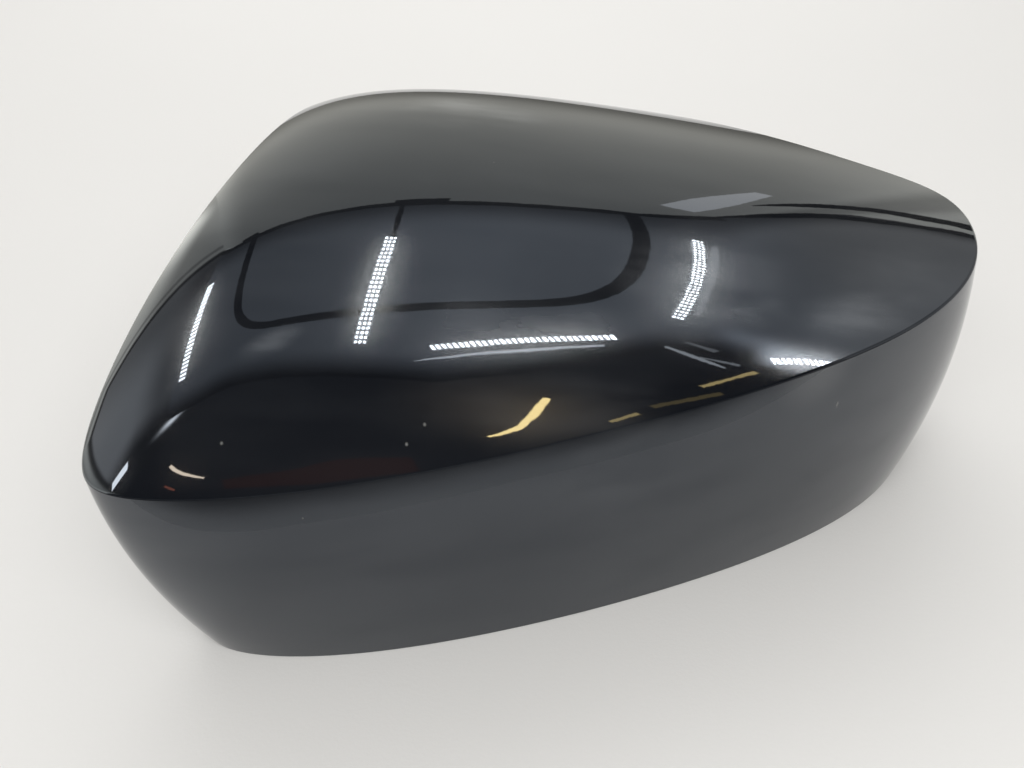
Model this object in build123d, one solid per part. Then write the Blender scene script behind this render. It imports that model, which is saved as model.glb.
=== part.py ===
"""Wing mirror cover: one painted moulding that snaps over the mirror head.

Millimetres. The open side lies on the XY plane at Z = 0 and the crown looks up.
+X runs to the pointed end, +Y away from the tall, nearly upright near side.
"""
from build123d import *
import os
from math import sin, cos, radians

# The skin.
wall = 2.4                   # thickness of the side, square to it
roof = 2.8                   # thickness of the crown, straight down
crease_radius = 1.0          # rounding of the crisp edge between crown and side
rim_radius = 0.6             # rounding of both edges of the rim

# Plan of the rim: poles of one closed smooth curve, from the blunt near corner
# along the near side to the pointed end, and back along the far side.
RIM = [(-101, -54), (-103, -75), (-52, -76), (26, -55), (87, -28), (114, 1),
       (113, 31), (89, 39), (39, 66), (-17, 79), (-59, 75), (-72, 22)]

# The side swells above the rim: at two heights, how far the plan's outermost pole
# moves out along X and Y, the others in proportion, and how far the plan shifts.
waist_height = 55.0
waist_swell_x = 10.26
waist_swell_y = 4.74
waist_shift_x = -5.0
waist_shift_y = -1.0
top_height = 110.0
top_swell_x = 2.28
top_swell_y = 2.37
top_shift_x = -9.0
top_shift_y = -1.5

# The crown is one section line carried along one ridge line.
section_turn = 15.0          # degrees the section line is turned from Y
RIDGE = [(-114, 61), (-110, 127), (-77, 122), (37, 100), (128, 81)]
SECTION = [(-105, -64), (-62, -4.5), (0, 3), (91, 12), (102, -70)]

# Snap hooks hang from the side and catch the mirror head; places are shares
# of the way round the rim.
HOOKS = [0.09, 0.24, 0.40, 0.60, 0.74, 0.92]
hook_width = 12.0
hook_thick = 2.0
hook_clearance = 4.0         # free space behind a hook arm at the rim
hook_low = 4.0               # lowest point of a hook above the rim
hook_lead = 5.0              # height of the sloping lead-in
hook_catch = 2.2             # reach of the catch
hook_land = 1.2              # height of the flat nose of the catch
hook_length = 24.0           # free length of an arm, up to its root
hook_root = 5.0              # height of the root that joins the side

# Locating ribs centre the cover on the mirror head.
RIBS = [0.02, 0.165, 0.32, 0.50, 0.67, 0.83]
rib_thick = 2.0
rib_reach = 7.0              # from the outer face of the rim
rib_low = 8.0
rib_straight = 18.0          # height of the upright part
rib_height = 34.0


def outline(height, inset=0):
    """Closed plan curve of the side at a height, its poles moved inward by an inset."""
    up = height / waist_height
    full = top_height / waist_height
    waist = up * (full - up) / (full - 1)
    top = up * (up - 1) / (full * (full - 1))
    reach_x = max(x for x, y in RIM)
    reach_y = max(y for x, y in RIM)
    grow_x = 1 + (waist * waist_swell_x + top * top_swell_x) / reach_x
    grow_y = 1 + (waist * waist_swell_y + top * top_swell_y) / reach_y
    shift_x = waist * waist_shift_x + top * top_shift_x
    shift_y = waist * waist_shift_y + top * top_shift_y
    poles = [Vector(grow_x * x + shift_x, grow_y * y + shift_y, height) for x, y in RIM]
    poles = [mitre(poles[k - 1], poles[k], poles[(k + 1) % len(poles)], inset)
             for k in range(len(poles))]
    return Edge.make_bspline(poles, range(len(poles) + 1), 3, periodic=True)


def mitre(before, corner, after, inset):
    """Corner of a polygon whose two sides move inward by an inset."""
    one = inward(corner - before)
    two = inward(after - corner)
    return corner + (one + two) * (inset / (1 + one.dot(two)))


def inward(along):
    """Direction into the cover, square to a direction along the rim."""
    return Vector(-along.Y, along.X, 0).normalized()


def side_body(bottom, inset=0):
    """Solid inside the side, from a bottom height to above the crown."""
    heights = (bottom, waist_height, top_height)
    return Solid.make_loft([Wire([outline(z, inset)]) for z in heights])


def under_crown(drop):
    """Solid below the crown surface lowered by a drop."""
    turn = radians(section_turn)
    poles = [[(p + q * sin(turn), q * cos(turn), f + g - drop) for q, g in SECTION]
             for p, f in RIDGE]
    crown = Face.make_bezier_surface(poles)
    return Solid.extrude(crown, Vector(0, 0, -2 * top_height))


def outer_body():
    """Outside form with the rounded crease."""
    body = side_body(0) & under_crown(0)
    crown_edges = body.faces().sort_by(Axis.Z)[-1].edges()
    return body.fillet(crease_radius, crown_edges)


def shell():
    """The thin skin: outside form less the hollow, with a rounded rim."""
    hollow = side_body(-rim_radius, wall) & under_crown(roof)
    skin = outer_body() - hollow
    rim = skin.faces().sort_by(Axis.Z)[0]
    return skin.fillet(rim_radius, rim.edges())


def on_side(share, profile, width):
    """Profile of (inward, up) points at a place on the rim, given a width."""
    edge = outline(0)
    along = edge.tangent_at(share)
    plane = Plane(edge.position_at(share), inward(along), along)
    face = Face(Wire.make_polygon([plane.from_local_coords(p) for p in profile]))
    half = plane.z_dir * (width / 2)
    return Solid.extrude(face.translate(-half), half * 2)


def hook(share):
    """Snap hook: root on the side, arm hanging down, catch turned inward."""
    back = wall + hook_clearance
    front = back + hook_thick
    nose = front + hook_catch
    root = hook_low + hook_length
    beyond = -4 * wall
    return on_side(share, [
        (back, hook_low), (front, hook_low),
        (nose, hook_low + hook_lead), (nose, hook_low + hook_lead + hook_land),
        (front, hook_low + hook_lead + hook_land + hook_catch / 2),
        (front, root + hook_root), (beyond, root + hook_root),
        (beyond, root), (back, root)], hook_width)


def rib(share):
    """Upright rib on the inside of the side, its top sloping into the side."""
    beyond = -4 * wall
    return on_side(share, [
        (beyond, rib_low), (rib_reach, rib_low), (rib_reach, rib_low + rib_straight),
        (0, rib_low + rib_height), (beyond, rib_low + rib_height)], rib_thick)


def mirror_cover():
    """The whole moulding."""
    middle = side_body(-rim_radius, wall / 2)
    cover = shell()
    for share in HOOKS:
        cover = cover + (hook(share) & middle)
    for share in RIBS:
        cover = cover + (rib(share) & middle)
    centre = cover.bounding_box().center()
    return cover.translate(Vector(-centre.X, -centre.Y, 0))


os.makedirs("parts", exist_ok=True)
export_step(mirror_cover(), "parts/mirror_cover.step")
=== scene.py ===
from math import comb, cos, pi, radians, sin, tan

import bpy
import numpy as np
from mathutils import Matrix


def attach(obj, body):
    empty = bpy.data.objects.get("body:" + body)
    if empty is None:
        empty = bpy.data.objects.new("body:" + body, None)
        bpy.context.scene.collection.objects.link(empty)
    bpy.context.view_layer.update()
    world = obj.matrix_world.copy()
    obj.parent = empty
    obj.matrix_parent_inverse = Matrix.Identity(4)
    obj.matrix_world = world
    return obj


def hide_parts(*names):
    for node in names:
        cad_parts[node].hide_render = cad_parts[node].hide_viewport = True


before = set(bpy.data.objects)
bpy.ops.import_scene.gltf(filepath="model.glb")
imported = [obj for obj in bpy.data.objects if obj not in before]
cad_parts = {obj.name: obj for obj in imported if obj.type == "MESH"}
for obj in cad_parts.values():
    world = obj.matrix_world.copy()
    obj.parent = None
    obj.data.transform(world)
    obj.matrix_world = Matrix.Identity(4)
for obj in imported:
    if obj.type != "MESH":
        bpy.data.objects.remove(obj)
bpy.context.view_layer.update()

# The skin of the cover.
# One thin moulding of hard plastic, open below, sprayed gloss black outside and left
# bare inside. Crown and side meet at a crisp rounded crease, and the rim lies flat.
MM = 0.001
WALL = 2.4 * MM
ROOF = 2.8 * MM
CREASE_RADIUS = 1.0 * MM
CORNER_RADIUS = 1.0 * MM
RIM_RADIUS = 0.6 * MM
MIDDLE = MM * np.array([1.3335, -0.0248])
RIM_POLES = MM * np.array([
    (-101, -54), (-103, -75), (-52, -76), (26, -55), (87, -28), (114, 1),
    (113, 31), (89, 39), (39, 66), (-17, 79), (-59, 75), (-72, 22)])
WAIST_HEIGHT = 55 * MM
WAIST_GROW = np.array([1.09, 1.06])
WAIST_SHIFT = MM * np.array([-5.0, -1.0])
TOP_HEIGHT = 110 * MM
TOP_GROW = np.array([1.02, 1.03])
TOP_SHIFT = MM * np.array([-9.0, -1.5])
SECTION_TURN = radians(15)
RIDGE = MM * np.array([(-114, 61), (-110, 127), (-77, 122), (37, 100), (128, 81)])
SECTION = MM * np.array([(-105, -64), (-62, -4.5), (0, 3), (91, 12), (102, -70)])
CROWN_MIDDLE = MM * np.array([-8, 0])
STEPS_ROUND = 432
STEPS_CROWN = 46
STEPS_CREASE = 8
STEPS_SIDE = 36
STEPS_RIM = 5
STEPS_CORNER = 6
STEPS_CEILING = 24
STEPS_LINE = 4001
HALVINGS = 44
SETTLINGS = 4


def unit(vector):
    """Vectors divided by their lengths."""
    return vector / np.linalg.norm(vector, axis=-1, keepdims=True)


def plan_poles(height, inset):
    """Poles of the plan at each height: the rim's poles grown and shifted by a quadratic
    in height through rim, waist and top, then mitred inward by the inset."""
    up = height / WAIST_HEIGHT
    full = TOP_HEIGHT / WAIST_HEIGHT
    waist = (up * (full - up) / (full - 1))[..., None]
    top = (up * (up - 1) / (full * (full - 1)))[..., None]
    grow = 1 + waist * (WAIST_GROW - 1) + top * (TOP_GROW - 1)
    shift = waist * WAIST_SHIFT + top * TOP_SHIFT
    poles = grow[..., None, :] * RIM_POLES + shift[..., None, :]
    along = poles - np.roll(poles, 1, axis=-2)
    inward = unit(np.stack([-along[..., 1], along[..., 0]], -1))
    after = np.roll(inward, -1, axis=-2)
    share = inset / (1 + (inward * after).sum(-1, keepdims=True))
    return poles + (inward + after) * share


def side(turn, height, inset=0.0):
    """Side of the cover: the closed uniform cubic B-spline of the plan's poles, so many
    poles round it, at a height."""
    turn, height = np.broadcast_arrays(turn, height)
    span = np.floor(turn).astype(int)
    t = turn - span
    weight = np.stack([(1 - t)**3, 3 * t**3 - 6 * t**2 + 4,
                       -3 * t**3 + 3 * t**2 + 3 * t + 1, t**3], -1) / 6
    near = (span[..., None] + np.arange(4)) % len(RIM_POLES)
    poles = np.take_along_axis(plan_poles(height, inset), near[..., None], axis=-2)
    plan = (weight[..., None] * poles).sum(-2) - MIDDLE
    return np.concatenate([plan, height[..., None]], -1)


def side_normal(turn, height, inset=0.0):
    """Outward normal of the side, square to a small step round it and one up it."""
    step = 0.002
    rise = 0.1 * MM
    round_it = side(turn + step, height, inset) - side(turn - step, height, inset)
    up_it = side(turn, height + rise, inset) - side(turn, height - rise, inset)
    return unit(np.cross(round_it, up_it))


def bezier_table(poles):
    """Place, height and slope at close steps along the Bezier line of the poles."""
    share = np.linspace(0, 1, STEPS_LINE)
    last = len(poles) - 1
    line = sum(comb(last, k) * np.outer(share**k * (1 - share)**(last - k), poles[k])
               for k in range(last + 1))
    slope = np.gradient(line[:, 1]) / np.gradient(line[:, 0])
    return line[:, 0], line[:, 1], slope


RIDGE_LINE = bezier_table(RIDGE)
SECTION_LINE = bezier_table(SECTION)


def crown(plan):
    """Height and upward normal of the crown over plan places: the ridge line's height at
    p plus the section line's at q, where q runs along a line turned from Y."""
    q = (plan[..., 1] + MIDDLE[1]) / cos(SECTION_TURN)
    p = plan[..., 0] + MIDDLE[0] - q * sin(SECTION_TURN)
    height = np.interp(p, *RIDGE_LINE[:2]) + np.interp(q, *SECTION_LINE[:2])
    ridge_slope = np.interp(p, RIDGE_LINE[0], RIDGE_LINE[2])
    section_slope = np.interp(q, SECTION_LINE[0], SECTION_LINE[2])
    slope_y = section_slope / cos(SECTION_TURN) - ridge_slope * tan(SECTION_TURN)
    return height, unit(np.stack([-ridge_slope, -slope_y, np.ones_like(height)], -1))


def rolling_ball(turn, inset, drop, radius):
    """Ball that rolls in the angle of the inset side and the lowered crown: its centre, its
    height on the side and the two normals. The height is found by halving until the
    centre, a radius in from the side, is a radius below the crown."""
    low = np.zeros_like(turn)
    high = np.full_like(turn, TOP_HEIGHT)
    for _ in range(HALVINGS):
        height = (low + high) / 2
        across = side_normal(turn, height, inset)
        centre = side(turn, height, inset) - radius * across
        upward = crown(centre[..., :2])[1]
        for _ in range(SETTLINGS):
            top, upward = crown(centre[..., :2] + radius * upward[..., :2])
        above = centre[..., 2] > top - drop - radius * upward[..., 2]
        low = np.where(above, low, height)
        high = np.where(above, height, high)
    return centre, height, across, upward


def arc(first, last, steps):
    """Normals that turn evenly from the first direction to the last, without the first."""
    angle = np.arccos(np.clip((first * last).sum(-1, keepdims=True), -1, 1))
    share = np.linspace(0, 1, steps + 1)[1:, None, None]
    return (np.sin((1 - share) * angle) * first + np.sin(share * angle) * last) / np.sin(angle)


def crown_rings(foot, drop, shares):
    """Rings of the crown: shares of the way from its middle to the foot line."""
    plan = CROWN_MIDDLE + shares[:, None, None] * (foot[..., :2] - CROWN_MIDDLE)
    height, upward = crown(plan)
    return np.concatenate([plan, height[..., None] - drop], -1), upward


def rim_height(turn, inset, way):
    """Height at which a ball resting on the floor touches the side, from inside the wall."""
    height = np.full_like(turn, RIM_RADIUS)
    for _ in range(SETTLINGS):
        height = RIM_RADIUS * (1 + way * side_normal(turn, height, inset)[..., 2])
    return height


def skin_rows():
    """Points and normals of the closed skin, ring by ring: out over the crown, round the
    crease, down the side, round the rim, up the inside and back under the crown."""
    turn = np.arange(STEPS_ROUND) * len(RIM_POLES) / STEPS_ROUND
    down = np.array([0, 0, -1.0]) + np.zeros((STEPS_ROUND, 3))
    rows = []

    centre, height, across, upward = rolling_ball(turn, 0.0, 0.0, CREASE_RADIUS)
    foot = centre + CREASE_RADIUS * upward
    rows.append(crown_rings(foot, 0.0, np.linspace(0, 1, STEPS_CROWN + 1)[1:]))
    turning = arc(upward, across, STEPS_CREASE)
    rows.append((centre + CREASE_RADIUS * turning, turning))

    low = rim_height(turn, 0.0, 1)
    share = np.linspace(0, 1, STEPS_SIDE + 1)[1:, None]
    level = height + share * (low - height)
    rows.append((side(turn, level), side_normal(turn, level)))
    across = side_normal(turn, low)
    turning = arc(across, down, STEPS_RIM)
    rows.append((side(turn, low) + RIM_RADIUS * (turning - across), turning))

    low = rim_height(turn, WALL, -1)
    across = side_normal(turn, low, WALL)
    turning = arc(down, -across, STEPS_RIM)
    land = side(turn, low, WALL) + RIM_RADIUS * (across + down)
    rows.append((land[None], down[None]))
    rows.append((side(turn, low, WALL) + RIM_RADIUS * (across + turning), turning))

    centre, height, across, upward = rolling_ball(turn, WALL, ROOF, CORNER_RADIUS)
    level = low + share * (height - low)
    rows.append((side(turn, level, WALL), -side_normal(turn, level, WALL)))
    turning = arc(across, upward, STEPS_CORNER)
    rows.append((centre + CORNER_RADIUS * turning, -turning))
    foot = centre + CORNER_RADIUS * upward
    points, upward = crown_rings(foot, ROOF, np.linspace(1, 0, STEPS_CEILING + 1)[1:-1])
    rows.append((points, -upward))
    return (np.concatenate(column) for column in zip(*rows))


def pole_point(drop):
    """Middle point of the crown, lowered by a drop."""
    height, upward = crown(CROWN_MIDDLE)
    return np.append(CROWN_MIDDLE, height - drop), upward


def ring_mesh(name, rows, normals, first, last):
    """Closed mesh of rings: quads from ring to ring and round each ring, a fan of triangles
    to the point before the first ring and another to the point after the last."""
    count, around = rows.shape[:2]
    here = np.arange(count * around).reshape(count, around)
    beside = np.roll(here, -1, axis=1)
    quads = np.stack([here[:-1], here[1:], beside[1:], beside[:-1]], -1).reshape(-1, 4)
    start = np.full(around, count * around)
    fan = np.stack([start, here[0], beside[0]], -1)
    close = np.stack([here[-1], start + 1, beside[-1]], -1)
    points = np.concatenate([rows.reshape(-1, 3), first[0][None], last[0][None]])
    faces = fan.tolist() + quads.tolist() + close.tolist()
    mesh = bpy.data.meshes.new(name)
    mesh.from_pydata(points.tolist(), [], faces)
    mesh.shade_smooth()
    facing = np.concatenate([normals.reshape(-1, 3), first[1][None], last[1][None]])
    mesh.normals_split_custom_set_from_vertices(facing.tolist())
    return mesh


def add_piece(name, mesh):
    """Object of a mesh at the origin, riding on the one body of the cover."""
    piece = bpy.data.objects.new(name, mesh)
    bpy.context.collection.objects.link(piece)
    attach(piece, "root")
    return piece


skin_points, skin_normals = skin_rows()
outer_pole = pole_point(0.0)
inner_pole = pole_point(ROOF)
inner_pole = (inner_pole[0], -inner_pole[1])
skin = add_piece("cover_skin", ring_mesh(
    "cover_skin", skin_points, skin_normals, outer_pole, inner_pole))
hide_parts("mirror_cover")


def shader_node(tree, kind, **settings):
    """New node of a tree, with its properties set and its inputs set or linked by name."""
    made = tree.nodes.new(kind)
    for key, value in settings.items():
        if hasattr(made, key):
            setattr(made, key, value)
            continue
        socket = made.inputs[key.replace("_", " ")]
        if isinstance(value, bpy.types.NodeSocket):
            tree.links.new(value, socket)
        else:
            socket.default_value = value
    return made


def new_material(name):
    """Empty node material: its tree, its Principled shader and its Object coordinates."""
    material = bpy.data.materials.new(name)
    material.use_nodes = True
    tree = material.node_tree
    tree.nodes.clear()
    surface = shader_node(tree, "ShaderNodeBsdfPrincipled")
    out = shader_node(tree, "ShaderNodeOutputMaterial")
    tree.links.new(surface.outputs["BSDF"], out.inputs["Surface"])
    place = shader_node(tree, "ShaderNodeTexCoord").outputs["Object"]
    return material, tree, surface, place


def sum_of(tree, operation, *values):
    """Output of a math node with the given values or sockets."""
    made = shader_node(tree, "ShaderNodeMath", operation=operation)
    for socket, value in zip(made.inputs, values):
        if isinstance(value, bpy.types.NodeSocket):
            tree.links.new(value, socket)
        else:
            socket.default_value = value
    return made.outputs[0]


def step_of(tree, value, low, high):
    """Smooth step of a value from 0 at low to 1 at high."""
    made = shader_node(tree, "ShaderNodeMapRange", interpolation_type="SMOOTHSTEP", Value=value,
                       From_Min=low, From_Max=high)
    return made.outputs["Result"]


def noise_of(tree, place, scale, detail=3.0, stretch=(1, 1, 1), turn=(0, 0, 0)):
    """Fractal noise of a scale per metre, its pattern turned and then stretched."""
    laid = shader_node(tree, "ShaderNodeMapping", Vector=place, Rotation=turn, Scale=stretch)
    made = shader_node(tree, "ShaderNodeTexNoise", Vector=laid.outputs[0], Scale=scale, Detail=detail)
    return made.outputs["Fac"]


def patch_of(tree, place, middle, size, turn=0.0):
    """Mask of an oval patch: 1 in its middle, 0 past its half sizes, turned about Z."""
    laid = shader_node(tree, "ShaderNodeMapping", vector_type="TEXTURE", Vector=place,
                       Location=middle, Rotation=(0, 0, radians(turn)), Scale=size)
    reach = shader_node(tree, "ShaderNodeVectorMath", operation="LENGTH", Vector=laid.outputs[0])
    return step_of(tree, reach.outputs["Value"], low=1.0, high=0.1)


def blend_of(tree, share, first, last):
    """Colour between two colours by a share."""
    made = shader_node(tree, "ShaderNodeMix", data_type="RGBA")
    tree.links.new(share, made.inputs[0])
    for socket, value in zip(made.inputs[6:8], (first, last)):
        if isinstance(value, bpy.types.NodeSocket):
            tree.links.new(value, socket)
        else:
            socket.default_value = value
    return made.outputs[2]


def make_dust():
    """Node group of settled dust: one grain in some of the cells of a cell pattern, of a
    share of the cells and a size in cells."""
    group = bpy.data.node_groups.new("settled_dust", "ShaderNodeTree")
    for name, kind in (("Place", "NodeSocketVector"), ("Cells", "NodeSocketFloat"),
                       ("Share", "NodeSocketFloat"), ("Size", "NodeSocketFloat")):
        group.interface.new_socket(name, in_out="INPUT", socket_type=kind)
    group.interface.new_socket("Mask", in_out="OUTPUT", socket_type="NodeSocketFloat")
    given = shader_node(group, "NodeGroupInput").outputs
    cells = shader_node(group, "ShaderNodeTexVoronoi", Vector=given["Place"], Scale=given["Cells"])
    chance = shader_node(group, "ShaderNodeSeparateColor", Color=cells.outputs["Color"])
    chosen = sum_of(group, "LESS_THAN", chance.outputs["Red"], given["Share"])
    size = sum_of(group, "MULTIPLY", chance.outputs["Green"], given["Size"])
    grain = sum_of(group, "LESS_THAN", cells.outputs["Distance"], size)
    shown = shader_node(group, "NodeGroupOutput")
    group.links.new(sum_of(group, "MULTIPLY", chosen, grain), shown.inputs["Mask"])
    return group


settled_dust = make_dust()


def dust_of(tree, place, cells, share, size):
    """Mask of settled dust in a material."""
    made = shader_node(tree, "ShaderNodeGroup", node_tree=settled_dust, Place=place, Cells=cells,
                       Share=share, Size=size)
    return made.outputs["Mask"]


def bump_of(tree, height, distance):
    """Normal of a surface raised by a height of up to a distance."""
    made = shader_node(tree, "ShaderNodeBump", Height=height, Distance=distance)
    return made.outputs["Normal"]


# Polish haze lies on the paint in wiped streaks, a thinner sheen veils a few places, and some grit
# stuck to it. The haze's lighter grey is partly painted halo: the first two haze patches sit either
# side of the third diode tape's reflection to paint its glow. Each patch has its middle, half sizes,
# turn about Z in degrees and strength.
HAZE_AND_HALO_PATCHES = [((0.024, -0.024, 0.089), (0.020, 0.022, 0.05), -25, 0.40),
                ((0.043, -0.020, 0.087), (0.016, 0.022, 0.05), -20, 0.2),
                ((0.070, -0.026, 0.081), (0.026, 0.008, 0.05), 18, 0.50),
                ((0.042, -0.030, 0.085), (0.014, 0.006, 0.05), 15, 0.8),
                ((0.088, -0.010, 0.082), (0.028, 0.016, 0.05), 20, 0.15),
                ((-0.073, -0.050, 0.092), (0.010, 0.0035, 0.05), 25, 1.2),
                ((0.003, -0.039, 0.088), (0.022, 0.006, 0.05), 8, 0.45),
                ((-0.030, -0.044, 0.090), (0.034, 0.016, 0.05), 0, 0.25),
                ((0.000, -0.058, 0.080), (0.060, 0.012, 0.05), 5, 0.15),
                ((-0.030, 0.035, 0.104), (0.030, 0.018, 0.05), 10, 0.9)]
SHEEN_PATCHES = [((-0.0490, -0.0355, 0.0965), (0.010, 0.026, 0.02), -13, 0.75),
                 ((-0.0905, -0.0460, 0.0925), (0.010, 0.019, 0.02), -8, 0.80),
                 ((0.0285, -0.0235, 0.0890), (0.017, 0.026, 0.02), -18, 0.95),
                 ((-0.0145, -0.0460, 0.0880), (0.032, 0.008, 0.02), 10, 0.5),
                 ((0.0545, -0.0410, 0.0775), (0.020, 0.008, 0.018), 0, 0.9)]
GRIT = [(-0.0825, -0.0705, 0.0797), (-0.0410, -0.0690, 0.0778), (-0.0370, -0.0650, 0.0802),
        (0.0670, -0.0386, 0.0610)]
GRIT_SIZE = (0.00055, 0.00055, 0.0016)


def patches_of(tree, place, patches, ground):
    """Sum of a ground level and the oval patches, each by its strength."""
    for middle, size, turn, weight in patches:
        patch = patch_of(tree, place, middle, size, turn)
        ground = sum_of(tree, "MULTIPLY_ADD", patch, weight, ground)
    return ground


PAINT_BLACK = (0.0040, 0.0047, 0.0066, 1)
PAINT_HAZE_AND_HALO = (0.110, 0.116, 0.124, 1)
PAINT_DUST = (0.11, 0.11, 0.10, 1)
PAINT_ROUGHNESS = 0.022
DUST_ROUGHNESS = 0.5
HAZE_COAT = 0.5
black_paint, tree, surface, place = new_material("gloss_black_paint")
streaks = noise_of(tree, place, scale=70, detail=5.0, stretch=(0.22, 1.0, 1.0), turn=(0, 0, radians(25)))
clouds = noise_of(tree, place, scale=24, detail=4.0)
haze_and_halo = sum_of(tree, "MULTIPLY", step_of(tree, streaks, low=0.32, high=0.70),
              step_of(tree, clouds, low=0.30, high=0.62))
haze_and_halo = sum_of(tree, "MULTIPLY", haze_and_halo, patches_of(tree, place, HAZE_AND_HALO_PATCHES, ground=0.05))
veil = sum_of(tree, "MULTIPLY", step_of(tree, streaks, low=0.10, high=0.55),
              patches_of(tree, place, SHEEN_PATCHES, ground=0.15))
dust = dust_of(tree, place, cells=230.0, share=0.035, size=0.07)
for grain in GRIT:
    dust = sum_of(tree, "MAXIMUM", dust, patch_of(tree, place, grain, GRIT_SIZE))
# The haze lightens the black base colour: real polish film, and a painted halo round the third tape's
# reflection.
paint = blend_of(tree, haze_and_halo, PAINT_BLACK, PAINT_HAZE_AND_HALO)
paint = blend_of(tree, dust, paint, PAINT_DUST)
rough = sum_of(tree, "MULTIPLY_ADD", dust, DUST_ROUGHNESS, PAINT_ROUGHNESS)
tree.links.new(paint, surface.inputs["Base Color"])
tree.links.new(rough, surface.inputs["Roughness"])
tree.links.new(sum_of(tree, "MULTIPLY_ADD", haze_and_halo, HAZE_COAT, veil), surface.inputs["Coat Weight"])
surface.inputs["Coat Roughness"].default_value = 0.18
surface.inputs["Coat IOR"].default_value = 1.5
surface.inputs["Specular IOR Level"].default_value = 0.78
surface.inputs["Specular Tint"].default_value = (0.77, 0.86, 1.0, 1)
peel = noise_of(tree, place, scale=260, detail=2.0)
tree.links.new(bump_of(tree, peel, distance=0.004 * MM), surface.inputs["Normal"])

PLASTIC_DARK = (0.010, 0.010, 0.011, 1)
PLASTIC_LIGHT = (0.017, 0.017, 0.018, 1)
PLASTIC_DUST = (0.14, 0.14, 0.13, 1)
PLASTIC_ROUGHNESS = 0.40
GRAIN_ROUGHNESS = 0.12
OVERSPRAY_BLACK = (0.005, 0.0056, 0.007, 1)
OVERSPRAY_GLOSS = 0.28
OVERSPRAY_TOP = 16 * MM
OVERSPRAY_FULL = 7 * MM
OVERSPRAY_RAGGED = 12 * MM
bare_plastic, tree, surface, place = new_material("bare_black_plastic")
height = shader_node(tree, "ShaderNodeSeparateXYZ", Vector=place).outputs["Z"]
ragged = sum_of(tree, "MULTIPLY_ADD", noise_of(tree, place, scale=90), OVERSPRAY_RAGGED, height)
overspray = step_of(tree, ragged, low=OVERSPRAY_TOP, high=OVERSPRAY_FULL)
grain = noise_of(tree, place, scale=1400, detail=2.0)
mottle = noise_of(tree, place, scale=35)
dust = dust_of(tree, place, cells=260.0, share=0.10, size=0.12)
plastic = blend_of(tree, mottle, PLASTIC_DARK, PLASTIC_LIGHT)
plastic = blend_of(tree, overspray, plastic, OVERSPRAY_BLACK)
plastic = blend_of(tree, dust, plastic, PLASTIC_DUST)
rough = sum_of(tree, "MULTIPLY_ADD", grain, GRAIN_ROUGHNESS, PLASTIC_ROUGHNESS)
rough = sum_of(tree, "MULTIPLY_ADD", overspray, -OVERSPRAY_GLOSS, rough)
tree.links.new(plastic, surface.inputs["Base Color"])
tree.links.new(rough, surface.inputs["Roughness"])
tree.links.new(bump_of(tree, grain, distance=0.03 * MM), surface.inputs["Normal"])

skin.data.materials.append(black_paint)
skin.data.materials.append(bare_plastic)
painted_rings = STEPS_CROWN + STEPS_CREASE + STEPS_SIDE + STEPS_RIM
painted_faces = STEPS_ROUND * painted_rings
finish = (np.arange(len(skin.data.polygons)) >= painted_faces).astype(np.int32)
skin.data.polygons.foreach_set("material_index", finish)

# The snap hooks and locating ribs.
# Moulded with the skin, of the same bare plastic: six arms hang from the side with a
# catch at their foot, and six upright ribs centre the cover on the mirror head.
HOOK_SHARES = [0.09, 0.24, 0.40, 0.60, 0.74, 0.92]
HOOK_WIDTH = 12 * MM
HOOK_THICK = 2 * MM
HOOK_CLEARANCE = 4 * MM
HOOK_LOW = 4 * MM
HOOK_LEAD = 5 * MM
HOOK_CATCH = 2.2 * MM
HOOK_LAND = 1.2 * MM
HOOK_LENGTH = 24 * MM
HOOK_ROOT = 5 * MM
RIB_SHARES = [0.02, 0.165, 0.32, 0.50, 0.67, 0.83]
RIB_THICK = 2 * MM
RIB_REACH = 7 * MM
RIB_LOW = 8 * MM
RIB_STRAIGHT = 18 * MM
RIB_HEIGHT = 34 * MM
SOFT_EDGE = 0.3 * MM
STEPS_RIM_LENGTH = 4801
STEPS_NEAR = 401


def station(share):
    """Turn, place, inward and along directions at a share of the rim's length."""
    turn = np.linspace(0, len(RIM_POLES), STEPS_RIM_LENGTH)
    line = side(turn, np.zeros_like(turn))
    gone = np.append(0, np.cumsum(np.linalg.norm(np.diff(line, axis=0), axis=1)))
    here = np.interp(share * gone[-1], gone, turn)
    step = 0.001
    around = here + step * np.array([-1, 0, 1])
    before, place, after = side(around, np.zeros(3))
    along = unit(after - before)
    return here, place, np.array([-along[1], along[0], 0]), along


def in_the_wall(turn, place, inward, along, height, offset):
    """Reach of the middle of the wall from the rim's station, at a height and an offset
    along the rim."""
    near = turn + np.linspace(-1, 1, STEPS_NEAR)
    line = side(near, np.full_like(near, height), WALL / 2) - place
    return np.interp(offset, line @ along, line @ inward)


def prism_mesh(name, share, profile, width):
    """Profile of (inward, up) points carried a width along the rim: the two end outlines
    and a band of quads between them. A reach of None lies in the middle of the wall."""
    turn, place, inward, along = station(share)
    ends = []
    for offset in (-width / 2, width / 2):
        reach = [in_the_wall(turn, place, inward, along, up, offset) if a is None else a
                 for a, up in profile]
        up = np.array([up for _, up in profile])
        ends.append(place + np.outer(reach, inward) + offset * along
                    + np.outer(up, (0, 0, 1)))
    count = len(profile)
    here = np.arange(count)
    beside = np.roll(here, -1)
    band = np.stack([here, here + count, beside + count, beside], -1)
    faces = [here.tolist(), (here[::-1] + count).tolist()] + band.tolist()
    mesh = bpy.data.meshes.new(name)
    mesh.from_pydata(np.concatenate(ends).tolist(), [], faces)
    return mesh


def soften(piece):
    """Small moulded rounding along the edges of a piece."""
    bevel = piece.modifiers.new("soft_edge", "BEVEL")
    bevel.width = SOFT_EDGE
    bevel.segments = 2
    bevel.limit_method = "ANGLE"


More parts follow.
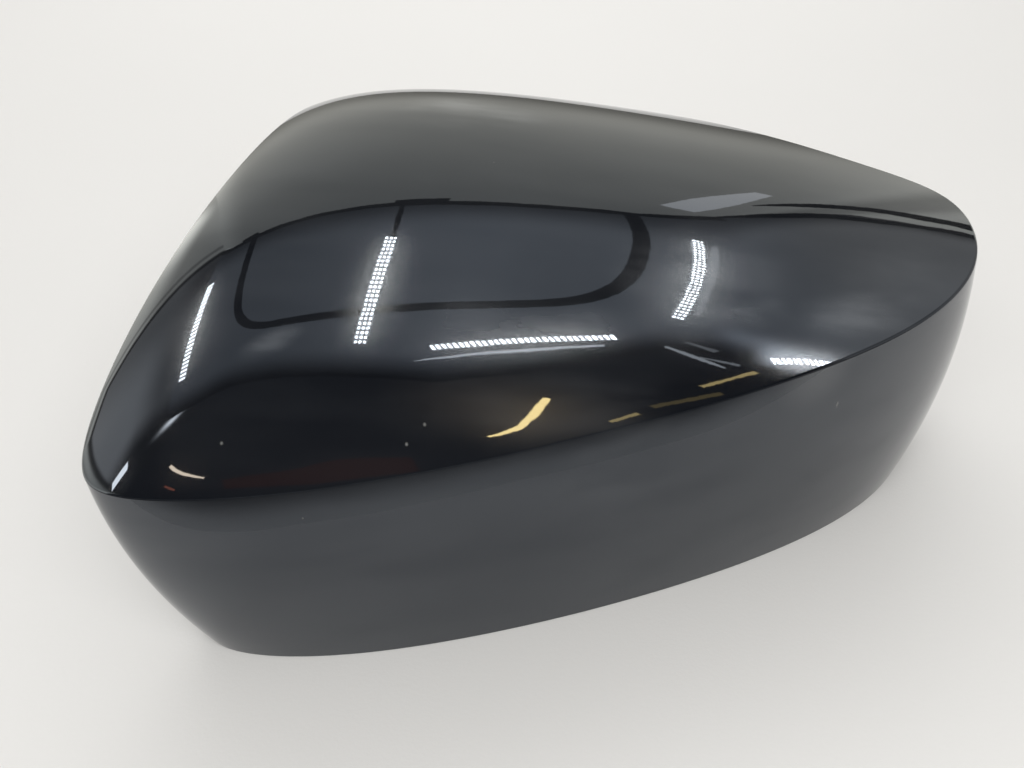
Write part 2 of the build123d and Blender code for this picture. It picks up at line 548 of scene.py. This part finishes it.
hook_back = WALL + HOOK_CLEARANCE
hook_front = hook_back + HOOK_THICK
hook_nose = hook_front + HOOK_CATCH
hook_foot = HOOK_LOW + HOOK_LEAD
hook_top = HOOK_LOW + HOOK_LENGTH
hook_profile = [
    (hook_back, HOOK_LOW), (hook_front, HOOK_LOW), (hook_nose, hook_foot),
    (hook_nose, hook_foot + HOOK_LAND),
    (hook_front, hook_foot + HOOK_LAND + HOOK_CATCH / 2),
    (hook_front, hook_top + HOOK_ROOT), (None, hook_top + HOOK_ROOT),
    (None, hook_top), (hook_back, hook_top)]
rib_profile = [
    (None, RIB_LOW), (RIB_REACH, RIB_LOW), (RIB_REACH, RIB_LOW + RIB_STRAIGHT),
    (None, RIB_LOW + RIB_HEIGHT)]
for name, shares, profile, width in (
        ("snap_hook", HOOK_SHARES, hook_profile, HOOK_WIDTH),
        ("locating_rib", RIB_SHARES, rib_profile, RIB_THICK)):
    for number, share in enumerate(shares, 1):
        label = f"{name}_{number}"
        piece = add_piece(label, prism_mesh(label, share, profile, width))
        piece.data.materials.append(bare_plastic)
        soften(piece)

# The table under the cover.
# A plain sheet of off-white card, large enough to fill the view.
TABLE_REACH = 2.0
CARD_DARK = (0.79, 0.78, 0.76, 1)
CARD_LIGHT = (0.82, 0.81, 0.79, 1)
CARD_SPECK = (0.2, 0.2, 0.2, 1)
CARD_ROUGHNESS = 0.55
FIBRE_ROUGHNESS = 0.15
card = bpy.data.meshes.new("table")
edge = TABLE_REACH * np.array([(-1, -1, 0), (1, -1, 0), (1, 1, 0), (-1, 1, 0)])
card.from_pydata(edge.tolist(), [], [(0, 1, 2, 3)])
table = bpy.data.objects.new("table", card)
bpy.context.collection.objects.link(table)
white_card, tree, surface, place = new_material("white_card")
fibre = noise_of(tree, place, scale=900)
shade = blend_of(tree, noise_of(tree, place, scale=6), CARD_DARK, CARD_LIGHT)
specks = dust_of(tree, place, cells=12.0, share=0.05, size=0.012)
rough = sum_of(tree, "MULTIPLY_ADD", fibre, FIBRE_ROUGHNESS, CARD_ROUGHNESS)
tree.links.new(blend_of(tree, specks, shade, CARD_SPECK), surface.inputs["Base Color"])
tree.links.new(rough, surface.inputs["Roughness"])
tree.links.new(bump_of(tree, fibre, distance=0.05 * MM), surface.inputs["Normal"])
surface.inputs["Specular IOR Level"].default_value = 0.0
card.materials.append(white_card)

# The light.
# A white light tent stands askew over the table, with diode tapes under its ceiling. Its sheets
# only show in the paint, and two wide soft lamps light the table itself.
TENT_TOP = 0.60
TENT_LEFT = -0.43
TENT_RIGHT = 0.85
TENT_BACK = 0.55
BACK_EDGE = [(-0.43, 0.318), (-0.38, 0.296), (-0.13, 0.303), (0.25, 0.402), (0.354, 0.470),
             (0.418, 0.546), (0.484, 0.615), (0.575, 0.700), (0.663, 0.743), (0.85, 0.760)]
FRONT_EDGE = [(-0.43, -0.185), (-0.33, -0.165), (-0.25, -0.138), (-0.15, -0.130), (0.05, -0.140),
              (0.14, -0.095), (0.21, -0.035), (0.26, 0.005), (0.31, 0.018), (0.37, 0.000),
              (0.43, -0.025), (0.47, -0.06), (0.55, -0.20), (0.85, -0.35)]
FRONT_FADE = 0.040
BACK_FADE = 0.10
SEAM_GAP = 0.004
COOL = np.array([0.95, 0.99, 1.03])
NEUTRAL = np.array([1.0, 0.99, 0.96])
CREAM = np.array([1.0, 0.98, 0.88])
WARM = np.array([1.0, 0.71, 0.28])
PEACH = np.array([1.0, 0.77, 0.54])
RUST = np.array([1.0, 0.28, 0.16])
DARK = 0.03 * COOL
ROOM_GLOW = 0.045 * np.array([0.90, 0.95, 1.05])
lit_cloth = bpy.data.materials.new("lit_cloth")
lit_cloth.use_nodes = True
tree = lit_cloth.node_tree
tree.nodes.clear()
glow = shader_node(tree, "ShaderNodeAttribute", attribute_name="glow")
shine = shader_node(tree, "ShaderNodeEmission", Color=glow.outputs["Color"])
shader_node(tree, "ShaderNodeOutputMaterial", Surface=shine.outputs[0])


def smooth(low, high, value):
    """Smooth step from 0 at low to 1 at high."""
    share = np.clip((value - low) / (high - low), 0, 1)
    return share * share * (3 - 2 * share)


def between(value, start, full, fall, end):
    """Smooth rise from 0 at the start to 1 at full, and smooth fall from there to the end."""
    return smooth(start, full, value) * smooth(end, fall, value)


def bell(value, middle, width, power=2):
    """Bell of height 1: e to minus a power of the distance from the middle in widths."""
    return np.exp(-((value - middle) / width)**power)


def edge_at(edge, x):
    """Depth of a bent edge of the tent over a place across it."""
    across, depth = np.transpose(edge)
    return np.interp(x, across, depth)


def lit_mesh(name, grids, glow):
    """Sheets made of grids of points, each shining with the colour given at its points, that
    only mirrors see."""
    here = np.arange(grids[..., 0].size).reshape(grids.shape[:3])
    quads = np.stack([here[:, :-1, :-1], here[:, :-1, 1:], here[:, 1:, 1:], here[:, 1:, :-1]], -1)
    mesh = bpy.data.meshes.new(name)
    mesh.from_pydata(grids.reshape(-1, 3).tolist(), [], quads.reshape(-1, 4).tolist())
    colour = np.ones((here.size, 4))
    colour[:, :3] = np.broadcast_to(glow, grids.shape).reshape(-1, 3)
    mesh.attributes.new("glow", "FLOAT_COLOR", "POINT").data.foreach_set("color", colour.ravel())
    mesh.materials.append(lit_cloth)
    sheet = bpy.data.objects.new(name, mesh)
    sheet.visible_camera = False
    sheet.visible_diffuse = False
    sheet.visible_shadow = False
    bpy.context.collection.objects.link(sheet)


def lit_sheet(name, x, y, z, bright, tint):
    """One sheet over a grid of places, with a brightness and a tint at each."""
    points = np.stack(np.broadcast_arrays(x, y, z), -1)
    lit_mesh(name, points[None], np.broadcast_to(bright, points.shape[:2])[..., None] * tint)


def rounded(line):
    """Line with its corners cut three times, each at a quarter and three quarters of a run."""
    for _ in range(3):
        first, last = line[:-1], line[1:]
        cut = np.stack([0.75 * first + 0.25 * last, 0.25 * first + 0.75 * last], 1)
        line = np.concatenate([line[:1], cut.reshape(-1, line.shape[1]), line[-1:]])
    return line


def ribbon(name, line, width, square_to, glow):
    """Flat ribbon along a rounded line of points, of a width at each, square to a direction."""
    line = np.asarray(line, float)
    width = np.broadcast_to(width, len(line))[:, None]
    line, width = np.split(rounded(np.concatenate([line, width], 1)), [3], 1)
    along = np.gradient(line, axis=0)
    out = unit(np.cross(along, square_to)) * width / 2
    lit_mesh(name, np.stack([line - out, line + out])[None], np.asarray(glow))


def ceiling_light(x, y, front, back):
    """Brightness of the ceiling: a level that changes from left to right, less behind a fold and
    fading to the front and back edges, with a hot spot and a lit hem at the right front."""
    level = 0.53 + 0.31 * smooth(-0.25, 0.10, x) - 0.16 * smooth(0.30, 0.40, x)
    dip = 0.10 * bell(x, 0.17, 0.08)
    corner = 0.30 * smooth(0.34, 0.44, x) * smooth(0.25, 0.03, y - 1.1 * (x - 0.40))
    fold = 0.4 + 0.6 * smooth(-0.10, 0.0, y - 1.85 * (x - 0.43))
    front_fade = smooth(0, 2 * FRONT_FADE, y - front)
    back_reach = BACK_FADE * (1 + 0.9 * bell(x, 0.31, 0.06))
    back_fade = 0.25 + 0.75 * smooth(0, back_reach, back - y)
    hot_spot = 4.0 * bell(y, -0.008, 0.028) * between(x, 0.345, 0.375, 0.420, 0.455)
    hem = 0.8 * bell(y, front + FRONT_FADE + 0.020, 0.022) * between(x, 0.30, 0.34, 0.38, 0.44)
    return (level - dip + corner) * fold * front_fade * back_fade + hot_spot + hem


def back_light(x, z):
    """Brightness of the back wall: dim at its foot and brighter to both ends, less in a fold and
    in the shade above and below, with a strong glow low past the left end."""
    foot = 0.25 + 0.75 * smooth(0, 0.20, z)
    right = 0.8 * smooth(0.25, 0.60, x)
    left = 0.18 * smooth(-0.02, -0.30, x) * smooth(0.52, 0.36, z) + 0.33 * smooth(-0.34, -0.42, x)
    fold = 1 - 0.42 * between(x, 0.40, 0.47, 0.52, 0.62)
    low_shade = 0.16 * smooth(0.15, 0.05, z) * smooth(-0.35, -0.10, x)
    shade = 1 - 0.16 * smooth(0.30, 0.60, z) - low_shade
    past_end = smooth(-0.30, -0.65, x) * (0.3 + 8.0 * np.exp(-z / 0.12))
    return (foot + right + left) * fold * shade + past_end


def left_light(y, z, past):
    """Brightness of the left wall: the wall's own, up to its open front and with a gap high up,
    and the room's past its seam. The seam and a fainter line beside it are dark."""
    wall = 0.55 + 0.77 * smooth(0.53, 0.36, z) * smooth(0.13, -0.05, y)
    corner = 1 - 0.55 * smooth(0.11, 0.21, y) * smooth(0.36, 0.52, z)
    opening = 0.08 + 0.92 * smooth(-0.05, 0.05, y + 0.165 + 0.35 * np.maximum(0.42 - z, 0))
    gap = 9.0 * bell(y, -0.240, 0.010) * bell(z, 0.63, 0.06)
    low = smooth(0.32, 0.19, z) * smooth(0.46, 0.38, y) * (1.0 + 1.6 * smooth(0.22, 0.34, y))
    room = 1.1 + 0.48 * smooth(0.30, 0.42, y) + low
    seam = 1 - 0.90 * bell(past, 0, 0.009, power=4)
    line = 1 - 0.45 * bell(past, 0.031, 0.008, power=4)
    return np.where(past < 0, wall * corner * opening + gap, room) * seam * line


share = np.linspace(0, 1, 61)[:, None]
x = np.linspace(TENT_LEFT, TENT_RIGHT, 161)
front = edge_at(FRONT_EDGE, x) - FRONT_FADE
back = edge_at(BACK_EDGE, x)
y = front + share * (back - front)
tint = COOL + smooth(0.34, 0.50, x)[:, None] * (NEUTRAL - COOL)
lit_sheet("tent_ceiling", x, y, TENT_TOP, ceiling_light(x, y, front, back), tint)

x = np.linspace(-0.65, 1.0, 201)
y = TENT_BACK + share * (edge_at(BACK_EDGE, x) + SEAM_GAP - TENT_BACK)
z = TENT_TOP * share
lit_sheet("tent_back", x, y, z, back_light(x, z), CREAM)

y = np.linspace(-0.30, TENT_BACK, 341)
z = np.linspace(0, 0.80, 241)[:, None]
past_upright = 0.88 * (y - 0.545 * z + 0.010)
past_foot = 0.158 + 0.73 * np.maximum(-y, 0) - z
past = np.maximum(past_upright, past_foot)
tint = NEUTRAL + (past > 0)[..., None] * (CREAM - NEUTRAL)
lit_sheet("tent_left", TENT_LEFT, y, z, left_light(y, z, past), tint)

lit_sheet("tent_right", TENT_RIGHT, np.linspace(-0.45, 0.95, 9), TENT_TOP * share, 0.5, NEUTRAL)

# The near half of the table is in shade: a sheet just over the card darkens it, in the paint
# only, up to a bent edge.
SHADE_EDGE = [(-0.30, -0.135), (-0.113, -0.141), (-0.066, -0.146), (-0.025, -0.143), (0.014, -0.137),
              (0.055, -0.125), (0.097, -0.111), (0.15, -0.098), (0.30, -0.060)]
SHADE_TOP = 0.0004
x = np.linspace(-0.6, 0.6, 121)
past = np.concatenate([[-0.6, -0.1], np.linspace(-0.012, 0.016, 15)])[:, None]
bright = 0.10 + 0.60 * smooth(-0.006, 0.014, past)
lit_sheet("table_front", x, edge_at(SHADE_EDGE, x) + past, SHADE_TOP, bright, NEUTRAL)

# Seams, clips and a corner pocket of the cloth are dark ribbons, with a bright rod and a patch.
UP = (0, 0, 1.0)
AHEAD = (0, 1.0, 0)
ASIDE = (1.0, 0, 0)
SEAM_TOP = TENT_TOP - SEAM_GAP
BACK_SEAM_IN = 0.008
CLIP_DROP = 0.010
CORNER_DEPTH = 0.35
PATCH_DEPTH = CORNER_DEPTH - 0.002
FLAP = [(-0.317, 0.312), (-0.300, 0.200), (-0.283, 0.083), (-0.262, 0.015), (-0.217, -0.026),
        (-0.133, -0.022), (-0.050, -0.008), (0.033, 0.013), (0.117, 0.037), (0.183, 0.070),
        (0.220, 0.133), (0.237, 0.217), (0.246, 0.317), (0.240, 0.400)]
FRONT_ROD = [(0.020, -0.128), (0.047, -0.116), (0.088, -0.096), (0.127, -0.080), (0.165, -0.060),
             (0.205, -0.041)]
LEAD = [(-0.033, 0.200), (-0.033, 0.270), (-0.033, 0.345)]
CLIPS = [[(-0.045, 0.320), (0.025, 0.338)], [(-0.345, 0.290), (-0.300, 0.292)]]
CORNER_HIGH = [(0.262, 0.385), (0.272, 0.359), (0.292, 0.325), (0.316, 0.301), (0.334, 0.292),
               (0.359, 0.288), (0.379, 0.283), (0.400, 0.287), (0.430, 0.296)]
CORNER_LOW = [(0.262, 0.500), (0.280, 0.446), (0.296, 0.405), (0.312, 0.366), (0.341, 0.345),
              (0.370, 0.329), (0.393, 0.319), (0.413, 0.319), (0.445, 0.325)]
PATCH = [(0.229, 0.464), (0.2345, 0.414), (0.238, 0.374), (0.2435, 0.326)]
ribbon("flap_seam", [(a, b, SEAM_TOP) for a, b in FLAP], 0.019, UP, DARK)
ribbon("back_seam", [(a, b - BACK_SEAM_IN, SEAM_TOP) for a, b in BACK_EDGE[:5]], 0.016, UP, DARK)
ribbon("front_rod", [(a, b, SEAM_TOP) for a, b in FRONT_ROD],
       [0.001, 0.005, 0.006, 0.007, 0.006, 0.005], UP, 6 * NEUTRAL)
ribbon("lead", [(a, b, SEAM_TOP) for a, b in LEAD], 0.007, UP, DARK)
for number, line in enumerate(CLIPS, 1):
    ribbon(f"clip_{number}", [(a, b, SEAM_TOP - CLIP_DROP) for a, b in line], 0.032, AHEAD, DARK)
ribbon("corner_seam_1", [(a, CORNER_DEPTH, c) for a, c in CORNER_HIGH],
       [0.002, 0.010, 0.016, 0.018, 0.020, 0.022, 0.020, 0.018, 0.016], AHEAD, DARK)
ribbon("corner_seam_2", [(a, CORNER_DEPTH, c) for a, c in CORNER_LOW],
       [0.004, 0.010, 0.018, 0.020, 0.020, 0.018, 0.018, 0.016, 0.014], AHEAD, DARK)
ribbon("gap_4", [(a, PATCH_DEPTH, c) for a, c in PATCH], [0.034, 0.037, 0.028, 0.014],
       AHEAD, 2.3 * NEUTRAL)

# Each diode tape: its first and last place, its bow, its count of diodes along and their rows,
# the width of a diode and its glow.
TAPE_TOP = TENT_TOP - 0.008
TAPE_MARGIN = 0.003
TAPE_GLOW = 2.5
DIODE_DROP = 0.002
DIODE_FILL = 0.5
THREE_ROWS = np.array([-0.0055, 0, 0.0055])
ONE_ROW = np.array([0.0])
HALVES = np.array([-0.5, 0.5])
TAPES = [((-0.035, 0.201), (-0.046, -0.090), 0.0, 25, THREE_ROWS, 0.0027, 65),
         ((-0.405, 0.186), (-0.392, -0.111), 0.0, 24, 1.5 * THREE_ROWS, 0.0055, 42),
         ((0.303, 0.325), (0.268, 0.056), 0.006, 30, 0.8 * THREE_ROWS, 0.0023, 45),
         ((0.034, -0.092), (0.212, -0.016), 0.0, 31, ONE_ROW, 0.0110, 55),
         ((0.361, -0.020), (0.426, -0.003), 0.004, 12, ONE_ROW, 0.0150, 70)]
for number, (first, last, bow, count, rows, size, glow) in enumerate(TAPES, 1):
    first, last = np.array([(*first, TAPE_TOP), (*last, TAPE_TOP)])
    step = (last - first) / count
    along = unit(step)
    aside = np.array([-along[1], along[0], 0])
    gone = (np.arange(count)[:, None] + 0.5) / count
    middle = first + gone * (last - first) + 4 * bow * gone * (1 - gone) * aside
    ribbon(f"tape_{number}", middle, np.ptp(rows) + size + TAPE_MARGIN, UP, TAPE_GLOW * NEUTRAL)
    middle = middle - DIODE_DROP * np.array(UP)
    middle = (middle[:, None] + rows[:, None] * aside).reshape(-1, 1, 1, 3)
    reach = DIODE_FILL * step * HALVES[:, None, None]
    width = size * aside * HALVES[:, None]
    lit_mesh(f"diodes_{number}", middle + reach + width, glow * NEUTRAL)

# Lamps of the room, gaps in the cloth and a sleeve, all level with the ceiling: name, line,
# width or widths, and colour.
BRIGHT_LINES = [
    ("lamp_1", [(0.161, -0.197), (0.157, -0.216), (0.153, -0.244), (0.148, -0.264), (0.143, -0.286),
                (0.134, -0.300), (0.122, -0.315), (0.113, -0.324)],
     [0.009, 0.011, 0.011, 0.010, 0.010, 0.009, 0.006, 0.003], 18 * WARM),
    ("lamp_2", [(-0.405, -0.392), (-0.392, -0.410), (-0.372, -0.428), (-0.345, -0.445),
                (-0.303, -0.465)], [0.012, 0.014, 0.012, 0.009, 0.006], 12 * PEACH),
    ("lamp_3", [(0.303, -0.117), (0.352, -0.056)], 0.006, 5 * WARM),
    ("lamp_4", [(0.228, -0.246), (0.252, -0.213)], 0.006, 4 * WARM),
    ("lamp_5", [(0.262, -0.190), (0.324, -0.128)], 0.008, 0.9 * WARM),
    ("lamp_6", [(-0.430, -0.470), (-0.395, -0.497)], 0.008, 2 * RUST),
    ("dado", [(-0.260, -0.500), (-0.114, -0.490), (-0.050, -0.455), (0.040, -0.430)],
     [0.04, 0.06, 0.08, 0.05], 0.16 * RUST),
    ("gap_1", [(0.262, -0.022), (0.298, -0.044), (0.322, -0.058)], [0.005, 0.008, 0.003], 3 * NEUTRAL),
    ("gap_2", [(0.296, -0.038), (0.335, -0.044)], [0.003, 0.007], 1.8 * NEUTRAL),
    ("gap_5", [(0.280, -0.002), (0.311, -0.016)], [0.004, 0.008], 1.2 * NEUTRAL),
    ("gap_6", [(-0.427, 0.330), (-0.415, 0.322), (-0.398, 0.314)], 0.012, 2.5 * NEUTRAL),
    ("sleeve", [(0.324, 0.320), (0.317, 0.264), (0.306, 0.190), (0.295, 0.108), (0.290, 0.075)],
     [0.006, 0.012, 0.012, 0.010, 0.005], 2 * NEUTRAL)]
for name, line, width, colour in BRIGHT_LINES:
    ribbon(name, [(a, b, SEAM_TOP) for a, b in line], width, UP, colour)
x = np.linspace(-0.12, 0.38, 51)
y = np.linspace(-0.46, -0.04, 43)[:, None]
bright = 0.46 * bell(x, 0.130, 0.08) * bell(y, -0.24, 0.068)
lit_sheet("lamp_glow", x, y, TENT_TOP + SEAM_GAP, 1.0, ROOM_GLOW + bright[..., None] * PEACH)
GLINT_X = TENT_LEFT + SEAM_GAP
ribbon("gap_3", [(GLINT_X, -0.224, 0.392), (GLINT_X, -0.224, 0.325)], 0.022, ASIDE, 12 * NEUTRAL)


def soft_lamp(name, place, size, strength):
    """Square soft lamp facing down that lights the table and stays out of mirrors."""
    lamp = bpy.data.lights.new(name, "AREA")
    lamp.size = size
    lamp.energy = strength
    holder = bpy.data.objects.new(name, lamp)
    holder.location = place
    holder.visible_camera = False
    holder.visible_glossy = False
    bpy.context.collection.objects.link(holder)


soft_lamp("back_lamp", place=(-0.05, 0.65, 0.6), size=1.0, strength=4.2)
soft_lamp("front_lamp", place=(0.0, -0.70, 0.7), size=0.8, strength=7.0)

world = bpy.data.worlds.new("room")
bpy.context.scene.world = world
world.use_nodes = True
room = world.node_tree
room.nodes.clear()
pale = shader_node(room, "ShaderNodeBackground", Color=(0.86, 0.85, 0.83, 1), Strength=0.485)
dark = shader_node(room, "ShaderNodeBackground", Color=(*ROOM_GLOW, 1), Strength=1.0)
path = shader_node(room, "ShaderNodeLightPath")
mixed = shader_node(room, "ShaderNodeMixShader", Fac=path.outputs["Is Glossy Ray"])
room.links.new(pale.outputs[0], mixed.inputs[1])
room.links.new(dark.outputs[0], mixed.inputs[2])
sky = shader_node(room, "ShaderNodeOutputWorld")
room.links.new(mixed.outputs[0], sky.inputs["Surface"])
bpy.context.scene.view_settings.view_transform = "Standard"

# The camera.
# It stands close over the near side and looks down along the cover.
VIEW_ANGLE = radians(50)
LOOK_DOWN = radians(43.1)
LOOK_AT = np.array([-0.0170, -0.0085, 0.0400])
CAMERA_AWAY = 0.320
lens = bpy.data.cameras.new("camera")
lens.sensor_fit = "HORIZONTAL"
lens.angle = VIEW_ANGLE
lens.clip_start = 0.01
camera = bpy.data.objects.new("camera", lens)
camera.location = LOOK_AT + CAMERA_AWAY * np.array([0, -cos(LOOK_DOWN), sin(LOOK_DOWN)])
camera.rotation_euler = (pi / 2 - LOOK_DOWN, 0, 0)
bpy.context.collection.objects.link(camera)
bpy.context.scene.camera = camera
